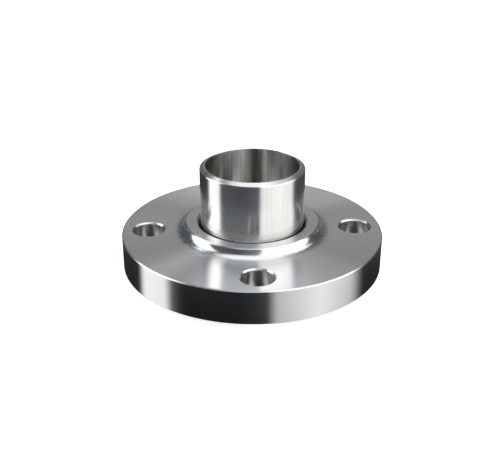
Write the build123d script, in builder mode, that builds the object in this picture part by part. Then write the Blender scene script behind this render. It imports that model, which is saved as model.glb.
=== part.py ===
from build123d import *

import os
from math import cos, radians, sin, tan

# Lap joint flange, NPS 2 (DN 50), Class 150, on its butt-weld stub end.
#
# Two separate pieces. The stub end is a short pipe with a bevelled weld end and
# a flared lap that carries the gasket face. The flange is a loose backing ring
# with a short hub: it drops over the neck, rests on the back of the lap and
# turns freely about the pipe axis.
#
# Millimetres. Origin at the centre of the lap's gasket face, +Z along the neck
# towards the weld end. One bolt hole lies on +X.

os.makedirs("parts", exist_ok=True)

# ---- driving dimensions: stub end -----------------------------------------
pipe_od = 60.3           # outside diameter of NPS 2 pipe
wall = 3.2               # wall of the neck
stub_length = 63.5       # gasket face to weld end, short pattern
lap_od = 92.1            # outside diameter of the lap
lap_thickness = 4.8      # lap, gasket face to back face
corner_radius = 7.9      # outside fillet, neck to lap back face
bore_edge_radius = 0.8   # inside corner at the gasket face
lap_edge_chamfer = 0.5   # both outer edges of the lap
weld_land = 0.7          # flat left at the weld end
bevel_angle = 30         # weld bevel, from the plane across the pipe

# ---- driving dimensions: backing flange -----------------------------------
flange_od = 151.4        # outside diameter of the ring, 6 in nominal
flange_thickness = 19.3  # ring only
hub_length = 24.7        # underside of the ring to the top of the hub
hub_od = 77.6            # hub, at the top of its side
hub_flare_od = 87.6      # where the hub's steep flare runs into its shallow foot
hub_foot_radius = 17     # shallow foot, tangent to the ring's face
hub_foot_angle = 12      # slope where the flare meets the foot
hub_edge_chamfer = 0.5   # hub, outer top edge
flange_bore = 62.5       # clears the neck
bore_corner_radius = 8.0 # bore corner on the lap side, clears the stub's fillet
bore_top_chamfer = 1.1   # bore edge at the top of the hub
rim_top_chamfer = 0.6    # outer edge on the hub side
rim_bottom_chamfer = 0.2 # outer edge on the lap side
bolt_circle = 120.65     # bolt hole centres
bolt_hole_d = 18.0       # for 5/8 in or M16 bolts
bolt_hole_count = 4
bolt_hole_chamfer = 0.85 # on the hub side
bolt_hole_back_chamfer = 0.6  # on the lap side

# ---- derived --------------------------------------------------------------
neck_r = pipe_od / 2
bore_r = neck_r - wall
land_r = bore_r + weld_land
bevel_height = (neck_r - land_r) * tan(radians(bevel_angle))
lap_r = lap_od / 2

ring_z = lap_thickness                 # the ring rests on the back of the lap
face_z = ring_z + flange_thickness
hub_top_z = ring_z + hub_length
rim_r = flange_od / 2
hub_r = hub_od / 2
foot_in_r = hub_flare_od / 2
foot_slope = radians(hub_foot_angle)
foot_h = hub_foot_radius * (1 - cos(foot_slope))
foot_out_r = foot_in_r + hub_foot_radius * sin(foot_slope)
# the flare's radius, tangent to the foot and ending at the hub's top edge
flare_w = foot_in_r - hub_r
flare_h = hub_top_z - hub_edge_chamfer - face_z - foot_h
flare_radius = (flare_w**2 + flare_h**2) / (
    2 * (flare_h * cos(foot_slope) - flare_w * sin(foot_slope))
)
hole_r = flange_bore / 2


# ---- stub end: revolved pipe wall, lap and weld bevel -----------------------
with BuildPart() as stub_end:
    with BuildSketch(Plane.XZ) as stub_profile:
        with BuildLine():
            Polyline(
                (bore_r, 0),
                (lap_r - lap_edge_chamfer, 0),
                (lap_r, lap_edge_chamfer),
                (lap_r, lap_thickness - lap_edge_chamfer),
                (lap_r - lap_edge_chamfer, lap_thickness),
                (neck_r, lap_thickness),
                (neck_r, stub_length - bevel_height),
                (land_r, stub_length),
                (bore_r, stub_length),
                close=True,
            )
        make_face()
        corner = stub_profile.vertices().sort_by_distance((neck_r, lap_thickness, 0))[0]
        fillet(corner, radius=corner_radius)
        inner = stub_profile.vertices().sort_by_distance((bore_r, 0, 0))[0]
        fillet(inner, radius=bore_edge_radius)
    revolve(axis=Axis.Z)

stub_end.part.label = "stub_end"
export_step(stub_end.part, "parts/stub_end.step")


# ---- lap joint flange: revolved ring and hub, drilled on the bolt circle ----
with BuildPart() as lap_joint_flange:
    with BuildSketch(Plane.XZ) as flange_profile:
        with BuildLine():
            Polyline(
                (foot_out_r, face_z),
                (rim_r - rim_top_chamfer, face_z),
                (rim_r, face_z - rim_top_chamfer),
                (rim_r, ring_z + rim_bottom_chamfer),
                (rim_r - rim_bottom_chamfer, ring_z),
                (hole_r, ring_z),
                (hole_r, hub_top_z - bore_top_chamfer),
                (hole_r + bore_top_chamfer, hub_top_z),
                (hub_r - hub_edge_chamfer, hub_top_z),
                (hub_r, hub_top_z - hub_edge_chamfer),
            )
            # the hub's side is hollow: a steep flare, then a shallow foot running out on the face
            RadiusArc(
                (foot_in_r, face_z + foot_h), (hub_r, hub_top_z - hub_edge_chamfer), flare_radius
            )
            RadiusArc((foot_out_r, face_z), (foot_in_r, face_z + foot_h), hub_foot_radius)
        make_face()
        mouth = flange_profile.vertices().sort_by_distance((hole_r, ring_z, 0))[0]
        fillet(mouth, radius=bore_corner_radius)
    revolve(axis=Axis.Z)

    # bolt holes, drilled from the face through the ring
    with BuildSketch(Plane.XY.offset(face_z)):
        with PolarLocations(bolt_circle / 2, bolt_hole_count):
            Circle(bolt_hole_d / 2)
    extrude(amount=-flange_thickness, mode=Mode.SUBTRACT)
    hole_edges = (
        lap_joint_flange.edges()
        .filter_by(GeomType.CIRCLE)
        .filter_by(lambda e: abs(e.radius - bolt_hole_d / 2) < 1e-6)
    )
    front_edges, back_edges = hole_edges.group_by(Axis.Z)[-1], hole_edges.group_by(Axis.Z)[0]
    chamfer(front_edges, length=bolt_hole_chamfer)
    chamfer(back_edges, length=bolt_hole_back_chamfer)

lap_joint_flange.part.label = "lap_joint_flange"
export_step(lap_joint_flange.part, "parts/lap_joint_flange.step")


print("stub end volume mm3", round(stub_end.part.volume, 1), "height", round(stub_end.part.bounding_box().size.Z, 3))
print("flange volume mm3", round(lap_joint_flange.part.volume, 1), "chamfered hole edges", len(hole_edges))
print("radial clearance, flange bore to neck", round(hole_r - neck_r, 3))
print("flare radius", round(flare_radius, 3), "foot runs out at r", round(foot_out_r, 3), "bevel height", round(bevel_height, 3))
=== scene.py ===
import math

import bpy
from mathutils import Matrix, Vector


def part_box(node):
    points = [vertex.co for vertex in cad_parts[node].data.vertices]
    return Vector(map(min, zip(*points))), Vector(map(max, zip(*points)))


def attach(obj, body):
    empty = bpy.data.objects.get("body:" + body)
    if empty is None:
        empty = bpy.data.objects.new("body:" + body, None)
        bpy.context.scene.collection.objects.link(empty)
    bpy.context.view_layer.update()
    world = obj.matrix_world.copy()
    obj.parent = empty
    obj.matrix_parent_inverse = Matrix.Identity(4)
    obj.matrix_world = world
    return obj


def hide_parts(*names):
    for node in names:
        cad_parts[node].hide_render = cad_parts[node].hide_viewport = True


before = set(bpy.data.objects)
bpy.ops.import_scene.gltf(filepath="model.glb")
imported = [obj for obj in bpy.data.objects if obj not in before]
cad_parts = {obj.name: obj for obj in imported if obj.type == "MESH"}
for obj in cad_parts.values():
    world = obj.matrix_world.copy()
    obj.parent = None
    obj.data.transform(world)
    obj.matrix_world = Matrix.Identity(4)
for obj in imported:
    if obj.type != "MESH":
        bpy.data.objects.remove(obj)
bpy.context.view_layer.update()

MM = 0.001

# --------------------------------------------------------------------------
# sizes, in millimetres, from the CAD nodes' boxes and the part's drawing
# --------------------------------------------------------------------------
stub_lo, stub_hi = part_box("stub_end")
ring_lo, ring_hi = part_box("lap_joint_flange")

STUB_LENGTH = stub_hi.z / MM            # 63.5
LAP_R = stub_hi.x / MM                  # 46.05
LAP_T = ring_lo.z / MM                  # 4.8
NECK_R, WALL = 30.15, 3.2
BORE_R = NECK_R - WALL
LAND = 0.7
LAND_R = BORE_R + LAND
BEVEL_H = (NECK_R - LAND_R) * math.tan(math.radians(30.0))
CORNER_R, BORE_EDGE_R, LAP_CH = 7.9, 0.8, 0.5

RIM_R = ring_hi.x / MM                  # 75.7
RING_Z = ring_lo.z / MM                 # 4.8
HUB_TOP = ring_hi.z / MM                # 29.5
FACE_Z = RING_Z + 19.3
HUB_R, HUB_CH = 38.8, 0.5
FLARE_R, FOOT_ARC, FOOT_SLOPE = 43.8, 17.0, math.radians(12.0)   # the hub's flare runs into a shallow foot
HOLE_R, MOUTH_R, HOLE_CH = 31.25, 8.0, 1.1
RIM_CH, RIM_LOW_CH = 0.6, 0.2
BOLT_C, BOLT_R, BOLT_CH, BOLT_LOW_CH = 60.325, 9.0, 0.85, 0.6
EDGE = 0.08                             # every machined edge is broken this much


# --------------------------------------------------------------------------
# meshes turned from profiles, with the surface's true normals
# --------------------------------------------------------------------------
def rounded(points, radii, arc_deg=9.0, step=4.0, tags=None):
    """An open profile of (r, z) points with its inner corners rounded. Gives
    (r, z, nr, nz, tag) along it; solid lies to the left of the path. tags name the
    straight runs, and the arc at a corner takes the tag of the run after it."""
    tags = tags or [0] * (len(points) - 1)
    out = []

    def put(p, n, tag):
        if out and math.hypot(out[-1][0] - p[0], out[-1][1] - p[1]) < 1e-5:
            return
        out.append((p[0], p[1], n[0], n[1], tag))

    def run(a, b, tag):
        length = math.hypot(b[0] - a[0], b[1] - a[1])
        if length < 1e-6:
            return
        d = ((b[0] - a[0]) / length, (b[1] - a[1]) / length)
        n = (d[1], -d[0])
        k = max(1, math.ceil(length / step))
        for i in range(k + 1):
            put((a[0] + d[0] * length * i / k, a[1] + d[1] * length * i / k), n, tag)

    at = points[0]
    for i in range(1, len(points) - 1):
        p, q, s = points[i - 1], points[i], points[i + 1]
        d1 = Vector((q[0] - p[0], q[1] - p[1])).normalized()
        d2 = Vector((s[0] - q[0], s[1] - q[1])).normalized()
        turn = math.atan2(d1.x * d2.y - d1.y * d2.x, d1.dot(d2))
        radius = radii[i - 1]
        t = radius * math.tan(abs(turn) / 2)
        a = (q[0] - d1.x * t, q[1] - d1.y * t)
        run(at, a, tags[i - 1])
        side = 1 if turn > 0 else -1
        centre = (a[0] - d1.y * radius * side, a[1] + d1.x * radius * side)
        k = max(3, math.ceil(abs(math.degrees(turn)) / arc_deg))
        for j in range(1, k + 1):
            w = turn * j / k
            c, s_ = math.cos(w), math.sin(w)
            d = (d1.x * c - d1.y * s_, d1.x * s_ + d1.y * c)
            put(
                (centre[0] + d[1] * radius * side, centre[1] - d[0] * radius * side),
                (d[1], -d[0]),
                tags[i],
            )
        at = (q[0] + d2.x * t, q[1] + d2.y * t)
    run(at, points[-1], tags[-1])
    return out


class Solid:
    """Collects points, normals and faces, and merges points that coincide."""

    def __init__(self):
        self.at, self.verts, self.normals, self.faces, self.slots = {}, [], [], [], []

    def v(self, p, n):
        key = tuple(round(c, 4) for c in p)
        if key not in self.at:
            self.at[key] = len(self.verts)
            self.verts.append(tuple(c * MM for c in p))
            self.normals.append(n)
        return self.at[key]

    def quad(self, a, b, c, d, slot):
        ring = []
        for x in (a, b, c, d):
            if x not in ring:
                ring.append(x)
        if len(ring) > 2:
            self.faces.append(ring)
            self.slots.append(slot)

    def lathe(self, profile, thetas, centre=(0.0, 0.0), closed=False, change=None):
        """Turns a profile about an upright axis. change may move a point: it gets (r, z, theta, tag)."""
        rings = []
        for th in thetas:
            c, s = math.cos(th), math.sin(th)
            ring = []
            for r, z, nr, nz, tag in profile:
                if change:
                    r, z = change(r, z, th, tag)
                ring.append(
                    self.v(
                        (centre[0] + r * c, centre[1] + r * s, z), (nr * c, nr * s, nz)
                    )
                )
            rings.append(ring)
        n, m = len(thetas), len(profile)
        for j in range(n):
            a, b = rings[j], rings[(j + 1) % n]
            for i in range(m if closed else m - 1):
                k = (i + 1) % m
                self.quad(a[i], b[i], b[k], a[k], profile[k][4])

    def mesh(self, name, materials):
        me = bpy.data.meshes.new(name)
        me.from_pydata(self.verts, [], self.faces)
        for m in materials:
            me.materials.append(m)
        me.polygons.foreach_set("material_index", self.slots)
        me.polygons.foreach_set("use_smooth", [True] * len(self.faces))
        me.update()
        me.normals_split_custom_set_from_vertices(self.normals)
        me.validate()
        o = bpy.data.objects.new(name, me)
        bpy.context.scene.collection.objects.link(o)
        return o


# --------------------------------------------------------------------------
# materials: stainless steel as each tool left it
# --------------------------------------------------------------------------
class Nodes:
    def __init__(self, tree):
        self.t = tree
        self.n = tree.nodes
        self.n.clear()

    def add(self, kind, **props):
        node = self.n.new(kind)
        for k, val in props.items():
            setattr(node, k, val)
        return node

    def link(self, a, b):
        self.t.links.new(a, b)

    def math(self, op, a, b=None, clamp=False):
        node = self.add("ShaderNodeMath", operation=op, use_clamp=clamp)
        for i, x in enumerate((a, b)):
            if x is None:
                continue
            if isinstance(x, (int, float)):
                node.inputs[i].default_value = x
            else:
                self.link(x, node.inputs[i])
        return node.outputs[0]

    def ramp(self, fac, stops, interp="LINEAR"):
        node = self.add("ShaderNodeValToRGB")
        cr = node.color_ramp
        cr.interpolation = interp
        while len(cr.elements) > 1:
            cr.elements.remove(cr.elements[-1])
        for i, (p, c) in enumerate(stops):
            e = cr.elements[0] if i == 0 else cr.elements.new(p)
            e.position = p
            e.color = (c, c, c, 1) if isinstance(c, (int, float)) else (*c, 1)
        self.link(fac, node.inputs[0])
        return node.outputs[0]

    def noise(self, vec, scale, detail=3.0, rough=0.5, dist=0.0):
        node = self.add("ShaderNodeTexNoise", noise_dimensions="3D")
        node.inputs["Scale"].default_value = scale
        node.inputs["Detail"].default_value = detail
        node.inputs["Roughness"].default_value = rough
        node.inputs["Distortion"].default_value = dist
        self.link(vec, node.inputs["Vector"])
        return node.outputs[0]


def steel(
    name,
    tone=(0.66, 0.657, 0.650),
    rough=0.3,
    spread=0.05,
    aniso=0.85,
    turn=0.0,
    pitch=0.22,
    groove=0.0025,
    round_freq=1.2,
    mottle=0.0,
    mottle_scale=240.0,
    mottle_and_painted_dark_sides=False,
    axial=0.0,
    contrast=1.0,
    foot=None,
    on_bolt_circle=False,
    tangent="Z",
):
    """Stainless steel with the marks of turning about an upright axis. pitch and groove
    are the tool marks' spacing and depth in millimetres; mottle is the depth of shallow
    unevenness, on the flanks only with the sides flag, which also multiplies painted dark
    reflections (bluish-black patches) into the flanks' colour. axial is the strength of long
    streaks along the axis. rough and spread set the roughness and how much it varies.
    foot = (r0, r1, rough, aniso) runs over to another finish between two radii, and
    on_bolt_circle puts the marks round each bolt hole's own axis."""
    m = bpy.data.materials.new(name)
    m.use_nodes = True
    g = Nodes(m.node_tree)
    out = g.add("ShaderNodeOutputMaterial")
    p = g.add("ShaderNodeBsdfPrincipled")
    g.link(p.outputs[0], out.inputs[0])
    p.inputs["Metallic"].default_value = 1.0
    p.inputs["Anisotropic"].default_value = aniso
    p.inputs["Anisotropic Rotation"].default_value = turn
    if tangent:
        tg = g.add("ShaderNodeTangent", direction_type="RADIAL", axis=tangent)
        g.link(tg.outputs[0], p.inputs["Tangent"])

    tc = g.add("ShaderNodeTexCoord")
    pos = tc.outputs["Object"]
    sep = g.add("ShaderNodeSeparateXYZ")
    g.link(pos, sep.inputs[0])
    x, y, z = sep.outputs
    if on_bolt_circle:
        ax, ay = g.math("ABSOLUTE", x), g.math("ABSOLUTE", y)
        near_x = g.math("GREATER_THAN", ax, ay)
        side = g.math("ADD", g.math("MULTIPLY", near_x, y),
                      g.math("MULTIPLY", g.math("SUBTRACT", 1.0, near_x), x))
        x = g.math("SUBTRACT", g.math("MAXIMUM", ax, ay), BOLT_C * MM)
        y = side
    r = g.math("SQRT", g.math("ADD", g.math("MULTIPLY", x, x), g.math("MULTIPLY", y, y)))
    r = g.math("MAXIMUM", r, 0.0005)
    cx = g.math("MULTIPLY", g.math("DIVIDE", x, r), round_freq)
    cy = g.math("MULTIPLY", g.math("DIVIDE", y, r), round_freq)
    along = g.math("MULTIPLY", g.math("ADD", r, z), 1.0 / (pitch * MM))
    vec = g.add("ShaderNodeCombineXYZ")
    g.link(cx, vec.inputs[0])
    g.link(cy, vec.inputs[1])
    g.link(along, vec.inputs[2])
    lines = g.noise(vec.outputs[0], 1.0, 4.0, 0.62)

    # wider bands, where the tool's feed or wear changed
    vec2 = g.add("ShaderNodeCombineXYZ")
    g.link(cx, vec2.inputs[0])
    g.link(cy, vec2.inputs[1])
    g.link(g.math("MULTIPLY", along, 0.07), vec2.inputs[2])
    bands = g.noise(vec2.outputs[0], 1.0, 2.0, 0.5)

    cloud = g.noise(pos, 38.0, 3.0, 0.55)      # handling haze, a few centimetres
    fine = g.noise(pos, 900.0, 2.0, 0.6)       # grain of the steel, about a millimetre

    # colour: a little darker and warmer in the bottoms of the marks
    shade = g.math(
        "ADD",
        g.math("MULTIPLY", g.math("SUBTRACT", lines, 0.5), 0.10),
        g.math("ADD",
            g.math("MULTIPLY", g.math("SUBTRACT", cloud, 0.5), 0.06),
            g.math("MULTIPLY", g.math("SUBTRACT", bands, 0.5), 0.08)),
    )
    if axial:
        vec3 = g.add("ShaderNodeCombineXYZ")
        g.link(g.math("MULTIPLY", cx, 19.0), vec3.inputs[0])
        g.link(g.math("MULTIPLY", cy, 19.0), vec3.inputs[1])
        g.link(g.math("MULTIPLY", z, 9.0), vec3.inputs[2])
        streaks = g.noise(vec3.outputs[0], 1.0, 4.0, 0.65)
        shade = g.math("ADD", shade, g.math("MULTIPLY", g.math("SUBTRACT", streaks, 0.5), axial))
    mix = g.add("ShaderNodeMix", data_type="RGBA", blend_type="MIX")
    g.link(g.math("ADD", shade, 0.5, clamp=True), mix.inputs["Factor"])
    dark = tuple(c * (1 - k * contrast) for c, k in zip(tone, (0.14, 0.15, 0.17)))
    lite = tuple(min(1.0, c * (1 + k * contrast)) for c, k in zip(tone, (0.14, 0.15, 0.16)))
    mix.inputs["A"].default_value = (*dark, 1)
    mix.inputs["B"].default_value = (*lite, 1)
    colour = mix.outputs["Result"]
    flank = g.math("DIVIDE", x, r)
    flank = g.math("MULTIPLY", flank, flank)
    if mottle_and_painted_dark_sides:
        # painted dark reflection: bluish-black patches multiplied into the colour of the left and right flanks, where
        # the steel mirrors dark surroundings
        dark_patch_mask = g.math("MULTIPLY", g.math("SUBTRACT", g.noise(pos, mottle_scale * 0.8, 3.0, 0.6), 0.47), 7.0, clamp=True)
        painted_dark_patch = g.add("ShaderNodeMix", data_type="RGBA", blend_type="MULTIPLY")
        g.link(g.math("MULTIPLY", dark_patch_mask, flank), painted_dark_patch.inputs["Factor"])
        g.link(colour, painted_dark_patch.inputs["A"])
        painted_dark_patch.inputs["B"].default_value = (0.50, 0.53, 0.58, 1)
        colour = painted_dark_patch.outputs["Result"]
    g.link(colour, p.inputs["Base Color"])

    # roughness
    rr = g.math("ADD", rough - spread / 2, g.math("MULTIPLY", cloud, spread))
    rr = g.math("ADD", rr, g.math("MULTIPLY", g.math("SUBTRACT", bands, 0.5), spread * 0.6))
    rr = g.math("ADD", rr, g.math("MULTIPLY", g.math("SUBTRACT", fine, 0.5), spread * 0.3), clamp=True)
    if foot:
        r0, r1, rough1, aniso1 = foot
        t = g.math("DIVIDE", g.math("SUBTRACT", r, r0 * MM), (r1 - r0) * MM, clamp=True)
        rr = g.math("ADD", rr, g.math("MULTIPLY", t, rough1 - rough))
        g.link(g.math("ADD", aniso, g.math("MULTIPLY", t, aniso1 - aniso)), p.inputs["Anisotropic"])
    g.link(rr, p.inputs["Roughness"])

    # relief
    bump = g.add("ShaderNodeBump")
    bump.inputs["Strength"].default_value = 1.0
    bump.inputs["Distance"].default_value = groove * MM
    g.link(lines, bump.inputs["Height"])
    last = bump
    if mottle:
        b2 = g.add("ShaderNodeBump")
        b2.inputs["Strength"].default_value = 1.0
        b2.inputs["Distance"].default_value = mottle * MM
        lumps = g.noise(pos, mottle_scale, 2.0, 0.5)
        if mottle_and_painted_dark_sides:
            lumps = g.math("MULTIPLY", lumps, flank)
        g.link(lumps, b2.inputs["Height"])
        g.link(bump.outputs[0], b2.inputs["Normal"])
        last = b2
    g.link(last.outputs[0], p.inputs["Normal"])
    return m


TURN = 0.25
ring_mats = [
    steel("ring_face_turned", rough=0.25, spread=0.02, aniso=1.0, turn=TURN, pitch=0.25, groove=0.0012),
    steel("ring_rim_turned", rough=0.15, aniso=0.6, turn=TURN, pitch=0.30, groove=0.0012),
    steel("ring_edges", rough=0.24, aniso=0.6, turn=TURN, pitch=0.2, groove=0.002),
    # the hub's left and right flanks carry painted dark reflections in their colour
    steel("ring_hub", rough=0.19, aniso=0.5, turn=TURN, pitch=0.25, groove=0.001, mottle=0.07, mottle_scale=850.0, mottle_and_painted_dark_sides=True,
          foot=(41.3, 43.8, 0.25, 1.0)),
    steel("ring_bore", tone=(0.75, 0.75, 0.74), rough=0.45, aniso=0.3, turn=TURN, pitch=0.3, groove=0.006),
    steel("bolt_hole_drilled", tone=(0.68, 0.675, 0.66), rough=0.23, aniso=0.0, tangent=None, pitch=0.35, groove=0.006,
          axial=1.0, on_bolt_circle=True),
    steel("ring_hub_top", rough=0.42, spread=0.04, aniso=0.8, turn=TURN, pitch=0.6, groove=0.006, contrast=1.5),
]
R_FACE, R_RIM, R_EDGE, R_HUB, R_BORE, R_BOLT, R_TOP = range(7)

stub_mats = [
    steel("neck_turned", rough=0.16, aniso=0.9, turn=TURN, pitch=0.3, groove=0.003, axial=0.5, contrast=1.3),
    steel("weld_bevel", rough=0.28, aniso=0.9, turn=TURN, pitch=0.2, groove=0.003),
    steel("bore_bored", tone=(0.71, 0.70, 0.69), rough=0.20, aniso=0.9, turn=TURN, pitch=0.4, groove=0.002, axial=1.9, contrast=1.9),
    steel("lap_turned", rough=0.34, aniso=0.9, turn=TURN, pitch=0.25, groove=0.004),
]
S_NECK, S_BEVEL, S_BORE, S_LAP = range(4)

# --------------------------------------------------------------------------
# the backing ring
# --------------------------------------------------------------------------
BLOCK, N_IN, N_OUT, N_ROW, LAYERS = math.radians(14.0), 20, 44, 14, 5


def ring_angles():
    out = []
    for k in range(4):
        mid = k * math.pi / 2
        out += [mid - BLOCK + 2 * BLOCK * i / N_IN for i in range(N_IN)]
        gap = math.pi / 2 - 2 * BLOCK
        out += [mid + BLOCK + gap * i / N_OUT for i in range(N_OUT)]
    return out


def build_ring():
    s = Solid()
    thetas = ring_angles()
    mid = BOLT_C
    outer = rounded(
        [(mid, RING_Z), (RIM_R - RIM_LOW_CH, RING_Z), (RIM_R, RING_Z + RIM_LOW_CH),
         (RIM_R, FACE_Z - RIM_CH), (RIM_R - RIM_CH, FACE_Z), (mid, FACE_Z)],
        [EDGE] * 4,
        tags=[R_FACE, R_EDGE, R_RIM, R_EDGE, R_FACE],
        step=3.0,
    )
    # the shallow foot, then the steep flare up to the hub's top edge; both arcs share a tangent
    top_z = HUB_TOP - HUB_CH
    foot_h = FOOT_ARC * (1 - math.cos(FOOT_SLOPE))
    foot_out = FLARE_R + FOOT_ARC * math.sin(FOOT_SLOPE)
    w, h = FLARE_R - HUB_R, top_z - FACE_Z - foot_h
    arc = (w * w + h * h) / (2 * (h * math.cos(FOOT_SLOPE) - w * math.sin(FOOT_SLOPE)))
    cr, cz = FLARE_R + arc * math.sin(FOOT_SLOPE), FACE_Z + foot_h + arc * math.cos(FOOT_SLOPE)
    flare = []
    for i in range(7):
        t = FOOT_SLOPE * i / 7
        flare.append((foot_out - FOOT_ARC * math.sin(t), FACE_Z + FOOT_ARC * (1 - math.cos(t)),
                      math.sin(t), math.cos(t), R_FACE))
    head = math.acos((cz - top_z) / arc) - 0.12 / arc
    for i in range(17):
        t = FOOT_SLOPE + (head - FOOT_SLOPE) * i / 16
        flare.append((cr - arc * math.sin(t), cz - arc * math.cos(t), math.sin(t), math.cos(t), R_HUB))
    inner = flare[:-1] + rounded(
        [flare[-1][:2], (HUB_R, top_z), (HUB_R - HUB_CH, HUB_TOP),
         (HOLE_R + HOLE_CH, HUB_TOP), (HOLE_R, HUB_TOP - HOLE_CH), (HOLE_R, RING_Z), (mid, RING_Z)],
        [EDGE, EDGE, EDGE, EDGE, MOUTH_R],
        tags=[R_HUB, R_EDGE, R_TOP, R_EDGE, R_BORE, R_FACE],
        arc_deg=5.0,
        step=3.0,
    )
    # keep what lies between the two flat faces' ends
    outer = [q for q in outer if q[0] > mid + 1 and not (abs(q[1] - RING_Z) < 1e-6 and q[0] < RIM_R - RIM_LOW_CH - EDGE)
             and not (abs(q[1] - FACE_Z) < 1e-6 and q[0] < RIM_R - RIM_CH - EDGE)]
    low_in = HOLE_R + MOUTH_R
    inner = [q for q in inner if not (abs(q[1] - RING_Z) < 1e-6 and q[0] > low_in + 1e-6)]
    s.lathe(outer, thetas)
    s.lathe(inner, thetas)
    top_r = (inner[0][0], outer[-1][0])
    low_r = (inner[-1][0], outer[0][0])

    # one bolt hole's wall, from the top face down
    hole = rounded(
        [(BOLT_R + BOLT_CH + 1.5, FACE_Z), (BOLT_R + BOLT_CH, FACE_Z), (BOLT_R, FACE_Z - BOLT_CH),
         (BOLT_R, RING_Z + BOLT_LOW_CH), (BOLT_R + BOLT_LOW_CH, RING_Z), (BOLT_R + BOLT_LOW_CH + 1.5, RING_Z)],
        [EDGE] * 4,
        tags=[R_FACE, R_EDGE, R_BOLT, R_EDGE, R_FACE],
        step=3.0,
    )[1:-1]
    count = 2 * (N_IN + N_ROW)
    start = math.pi + math.pi * N_IN / count

    def face(z, nz, r_in, r_out, hole_r):
        n = (0.0, 0.0, nz)
        flip = nz < 0

        def quad(a, b, c, d):
            s.quad(*((d, c, b, a) if flip else (a, b, c, d)), R_FACE)

        def at(r, th):
            return s.v((r * math.cos(th), r * math.sin(th), z), n)

        for k in range(4):
            m = k * math.pi / 2
            gap = math.pi / 2 - 2 * BLOCK
            for i in range(N_OUT):
                t0 = m + BLOCK + gap * i / N_OUT
                t1 = m + BLOCK + gap * (i + 1) / N_OUT
                for j in range(N_ROW):
                    r0 = r_in + (r_out - r_in) * j / N_ROW
                    r1 = r_in + (r_out - r_in) * (j + 1) / N_ROW
                    quad(at(r0, t0), at(r1, t0), at(r1, t1), at(r0, t1))
            # the block with the hole
            edge = []
            for j in range(N_ROW):
                edge.append((r_in + (r_out - r_in) * j / N_ROW, -BLOCK))
            for i in range(N_IN):
                edge.append((r_out, -BLOCK + 2 * BLOCK * i / N_IN))
            for j in range(N_ROW):
                edge.append((r_out - (r_out - r_in) * j / N_ROW, BLOCK))
            for i in range(N_IN):
                edge.append((r_in, BLOCK - 2 * BLOCK * i / N_IN))
            loops = []
            for lay in range(LAYERS + 1):
                w = (lay / LAYERS) ** 1.3
                loop = []
                for i, (re, te) in enumerate(edge):
                    psi = start + 2 * math.pi * i / count
                    hx, hy = BOLT_C + hole_r * math.cos(psi), hole_r * math.sin(psi)
                    ex, ey = re * math.cos(te), re * math.sin(te)
                    px, py = hx + (ex - hx) * w, hy + (ey - hy) * w
                    c, sn = math.cos(m), math.sin(m)
                    loop.append(s.v((px * c - py * sn, px * sn + py * c, z), n))
                loops.append(loop)
            for lay in range(LAYERS):
                a, b = loops[lay], loops[lay + 1]
                for i in range(count):
                    k2 = (i + 1) % count
                    quad(a[i], b[i], b[k2], a[k2])

    face(FACE_Z, 1.0, *top_r, hole[0][0])
    face(RING_Z, -1.0, *low_r, hole[-1][0])
    for k in range(4):
        m = k * math.pi / 2
        s.lathe(
            hole,
            [m + start + 2 * math.pi * i / count for i in range(count)],
            centre=(BOLT_C * math.cos(m), BOLT_C * math.sin(m)),
        )
    return s.mesh("backing_ring", ring_mats)


ring = build_ring()
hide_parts("lap_joint_flange")
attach(ring, "backing_flange")


# --------------------------------------------------------------------------
# the stub end
# --------------------------------------------------------------------------
def build_stub():
    s = Solid()
    n = 256
    thetas = [2 * math.pi * i / n for i in range(n)]
    # the gasket face's concentric serrations, shallow rounded grooves
    pts, radii, tags = [(BORE_R, 20.0), (BORE_R, 0.0)], [BORE_EDGE_R], [S_BORE, S_LAP]
    groove, depth = 0.8, 0.06
    r = BORE_R + BORE_EDGE_R + 0.9
    while r < LAP_R - LAP_CH - 0.9:
        pts += [(r, 0.0), (r + groove / 2, depth)]
        radii += [0.25, 0.4]
        tags += [S_LAP, S_LAP]
        r += groove
    pts += [(r, 0.0)]
    radii += [0.25]
    tags += [S_LAP]
    pts += [
        (LAP_R - LAP_CH, 0.0), (LAP_R, LAP_CH), (LAP_R, LAP_T - LAP_CH), (LAP_R - LAP_CH, LAP_T),
        (NECK_R, LAP_T), (NECK_R, STUB_LENGTH - BEVEL_H), (LAND_R, STUB_LENGTH), (BORE_R, STUB_LENGTH),
        (BORE_R, 20.0),
    ]
    radii += [EDGE, EDGE, EDGE, EDGE, CORNER_R, 0.8, 0.5, 0.2]    # the weld end's edges are rubbed smoother
    tags += [S_LAP, S_LAP, S_LAP, S_LAP, S_NECK, S_BEVEL, S_BEVEL, S_BORE]
    prof = rounded(pts, radii, tags=tags, arc_deg=7.0, step=4.0)
    # the path closes on itself half way down the bore
    if math.hypot(prof[0][0] - prof[-1][0], prof[0][1] - prof[-1][1]) < 1e-6:
        prof = prof[:-1]
    s.lathe(prof, thetas, closed=True)
    return s.mesh("stub_end_turned", stub_mats)


stub = build_stub()
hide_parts("stub_end")
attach(stub, "stub_end")


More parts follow.
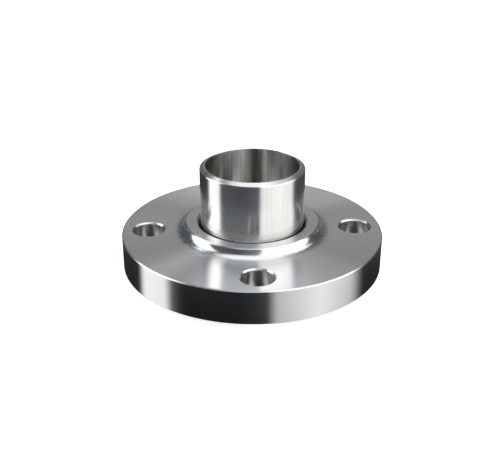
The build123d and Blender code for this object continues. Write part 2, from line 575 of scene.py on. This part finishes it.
# --------------------------------------------------------------------------
# studio
# --------------------------------------------------------------------------
def floor():
    me = bpy.data.meshes.new("studio_floor")
    n, radius = 96, 6.0
    verts = [(0, 0, 0)] + [
        (radius * math.cos(2 * math.pi * i / n), radius * math.sin(2 * math.pi * i / n), 0)
        for i in range(n)
    ]
    me.from_pydata(verts, [], [(0, i + 1, (i + 1) % n + 1) for i in range(n)])
    o = bpy.data.objects.new("studio_floor", me)
    bpy.context.scene.collection.objects.link(o)
    m = bpy.data.materials.new("pale_floor")
    m.use_nodes = True
    g = Nodes(m.node_tree)
    out = g.add("ShaderNodeOutputMaterial")
    p = g.add("ShaderNodeBsdfPrincipled")
    p.inputs["Base Color"].default_value = (0.90, 0.90, 0.90, 1)
    p.inputs["Roughness"].default_value = 0.9
    p.inputs["Specular IOR Level"].default_value = 0.0
    p.inputs["Emission Color"].default_value = (1, 1, 1, 1)
    p.inputs["Emission Strength"].default_value = FLOOR_GLOW
    g.link(p.outputs[0], out.inputs[0])
    me.materials.append(m)
    o.location.z = -0.00005
    o.visible_glossy = False      # polished walls mirror the studio, not the sweep they stand on
    return o


FLOOR_GLOW = 0.7
floor()

# Soft boxes and dark flags round the object, as bands of light by compass and by height.
CAMERA_TURN = math.radians(-2.68)     # the camera stands this far round from the ring's hole line
world = bpy.data.worlds.new("studio")
bpy.context.scene.world = world
world.use_nodes = True
g = Nodes(world.node_tree)
out = g.add("ShaderNodeOutputWorld")
bg = g.add("ShaderNodeBackground")
g.link(bg.outputs[0], out.inputs[0])
tc = g.add("ShaderNodeTexCoord")
rot = g.add("ShaderNodeVectorRotate", rotation_type="Z_AXIS")
rot.inputs["Angle"].default_value = -CAMERA_TURN
g.link(tc.outputs["Generated"], rot.inputs["Vector"])
sep = g.add("ShaderNodeSeparateXYZ")
g.link(rot.outputs[0], sep.inputs[0])
vx, vy, vz = sep.outputs
# compass, 0..1: 0.5 is towards the camera, more is to the camera's right
az = g.math("ARCTAN2", vx, g.math("MULTIPLY", vy, -1.0))
az = g.math("ADD", g.math("DIVIDE", az, 2 * math.pi), 0.5)
# height, 0..1: 0 straight down, 0.5 level, 1 straight up
el = g.math("ADD", g.math("DIVIDE", g.math("ARCSINE", vz), math.pi), 0.5)


def A(deg):
    return deg / 360.0 + 0.5


def E(deg):
    return deg / 180.0 + 0.5


# Tints: daylight from the front flags, a little warmth from the right-hand box
def cool(v):
    return (v * 0.92, v, v * 1.09)


def warm(v):
    return (v * 1.01, v, v * 0.98)


# below the table's edge, where the boxes run out and the flags are black
low_band = g.ramp(az, [
    (0.0, cool(0.02)), (A(-116), cool(0.02)), (A(-109), 1.45), (A(-82), 1.35), (A(-74), cool(0.10)),
    (A(-62), cool(0.006)), (A(-10), cool(0.008)), (A(14), cool(0.03)), (A(22), 0.68), (A(62), 1.30),
    (A(96), 0.80), (A(108), cool(0.20)), (A(113), cool(0.02)), (1.0, cool(0.02)),
])
# a little below level
mid_band = g.ramp(az, [
    (0.0, cool(0.06)), (A(-111), cool(0.06)), (A(-103), 1.65), (A(-78), 1.60), (A(-70), cool(0.16)),
    (A(-55), cool(0.14)), (A(-12), cool(0.125)), (A(13), cool(0.20)), (A(21), warm(1.36)), (A(60), warm(1.62)),
    (A(92), warm(1.35)), (A(103), cool(0.10)), (1.0, cool(0.08)),
])
# above level: the boxes' own fronts
high_band = g.ramp(az, [
    (0.0, cool(0.19)), (A(-156), cool(0.18)), (A(-141), cool(0.13)), (A(-113.5), cool(0.11)), (A(-109), 4.1), (A(-79), 4.1), (A(-71), cool(0.14)),
    (A(-24), cool(0.11)), (A(0), cool(0.24)), (A(14), cool(0.28)), (A(20), 2.5), (A(60), 2.75), (A(98), 2.6), (A(105), cool(0.11)),
    (A(133), warm(0.13)), (A(150), warm(0.21)), (1.0, 0.19),
])
back = g.ramp(el, [
    (0.0, cool(0.01)), (E(-28), cool(0.015)), (E(-24), cool(0.06)), (E(-10), cool(0.08)), (E(5), (0.17, 0.168, 0.16)),
    (E(15), (0.31, 0.308, 0.295)), (E(20), (0.41, 0.405, 0.39)), (E(24), (0.485, 0.483, 0.465)), (E(30), (0.50, 0.505, 0.515)), (E(44), (0.52, 0.53, 0.55)),
    (E(53), cool(3.1)), (E(66), cool(3.1)),
])
to_mid = g.ramp(el, [(0.0, 0.0), (E(-28), 0.0), (E(-24.5), 1.0), (1.0, 1.0)])
to_high = g.ramp(el, [(0.0, 0.0), (E(-18), 0.0), (E(4), 1.0), (1.0, 1.0)])
# the overhead sheet
top = g.ramp(el, [(0.0, 0.0), (E(57), 0.0), (E(67), 1.0), (1.0, 1.0)])
rear = g.ramp(az, [(0.0, 1.0), (A(-168), 1.0), (A(-155), 0.0), (A(155), 0.0), (A(168), 1.0), (1.0, 1.0)])
# both boxes are wider at their tops
corner_r = g.math("MULTIPLY",
    g.ramp(az, [(0.0, 0.0), (A(97), 0.0), (A(100), 1.0), (A(119), 1.0), (A(127), 0.0), (1.0, 0.0)]),
    g.ramp(el, [(0.0, 0.0), (E(31), 0.0), (E(37), 1.0), (E(58), 1.0), (E(63), 0.0), (1.0, 0.0)]))
corner_l = g.math("MULTIPLY",
    g.ramp(az, [(0.0, 0.0), (A(-148), 0.0), (A(-139), 1.0), (A(-112), 1.0), (A(-108), 0.0), (1.0, 0.0)]),
    g.ramp(el, [(0.0, 0.0), (E(42), 0.0), (E(46), 1.0), (E(51), 1.0), (E(55), 0.0), (1.0, 0.0)]))
# the left-hand box ends below the overhead sheet, and the room shows dark between them
slot = g.math("MULTIPLY",
    g.ramp(az, [(0.0, 0.0), (A(-120), 0.0), (A(-112), 1.0), (A(-66), 1.0), (A(-58), 0.0), (1.0, 0.0)]),
    g.ramp(el, [(0.0, 0.0), (E(50), 0.0), (E(54), 1.0), (1.0, 1.0)]))


def blend_colour(fac, a, b):
    mix = g.add("ShaderNodeMix", data_type="RGBA", blend_type="MIX")
    g.link(fac, mix.inputs["Factor"])
    for x, k in ((a, "A"), (b, "B")):
        if isinstance(x, tuple):
            mix.inputs[k].default_value = (*x, 1)
        else:
            g.link(x, mix.inputs[k])
    return mix.outputs["Result"]


walls = blend_colour(to_high, blend_colour(to_mid, low_band, mid_band), high_band)
# the boxes fade towards their tops
fade = g.add("ShaderNodeMix", data_type="RGBA", blend_type="DARKEN")
g.link(g.ramp(el, [(0.0, 0.0), (E(36), 0.0), (E(43), 1.0), (1.0, 1.0)]), fade.inputs["Factor"])
g.link(walls, fade.inputs["A"])
fade.inputs["B"].default_value = (1.75, 1.75, 1.75, 1)
walls = blend_colour(rear, fade.outputs["Result"], back)
walls = blend_colour(slot, walls, cool(0.10))
walls = blend_colour(corner_r, walls, (1.9, 1.9, 1.9))
walls = blend_colour(corner_l, walls, cool(1.85))
sky = blend_colour(top, walls, (1.57, 1.64, 1.72))
g.link(sky, bg.inputs["Color"])
bg.inputs["Strength"].default_value = 0.91

scene = bpy.context.scene
scene.view_settings.view_transform = "Standard"
scene.view_settings.look = "None"

# --------------------------------------------------------------------------
# camera, where the photographer stood
# --------------------------------------------------------------------------
e, r_, dist = math.radians(25.10), math.radians(0.215), 0.4749
back_dir = Vector((0, -math.cos(e), math.sin(e)))
target = Vector((-0.001247, 0, 0.02575))
eye = target + back_dir * dist
forward = -back_dir
right = Vector((1, 0, 0))
up = right.cross(forward)
R = math.cos(r_) * right + math.sin(r_) * up
U = -math.sin(r_) * right + math.cos(r_) * up
turn = Matrix.Rotation(CAMERA_TURN, 4, "Z")
cam_m = Matrix((
    (R.x, U.x, back_dir.x, eye.x),
    (R.y, U.y, back_dir.y, eye.y),
    (R.z, U.z, back_dir.z, eye.z),
    (0, 0, 0, 1),
))
cam = bpy.data.cameras.new("photo_camera")
cam.sensor_width = 36.0
cam.lens = 809.66 / 500 * 36.0
cam.clip_start, cam.clip_end = 0.01, 50
cam_o = bpy.data.objects.new("photo_camera", cam)
scene.collection.objects.link(cam_o)
cam_o.matrix_world = turn @ cam_m
scene.camera = cam_o

bpy.context.view_layer.update()
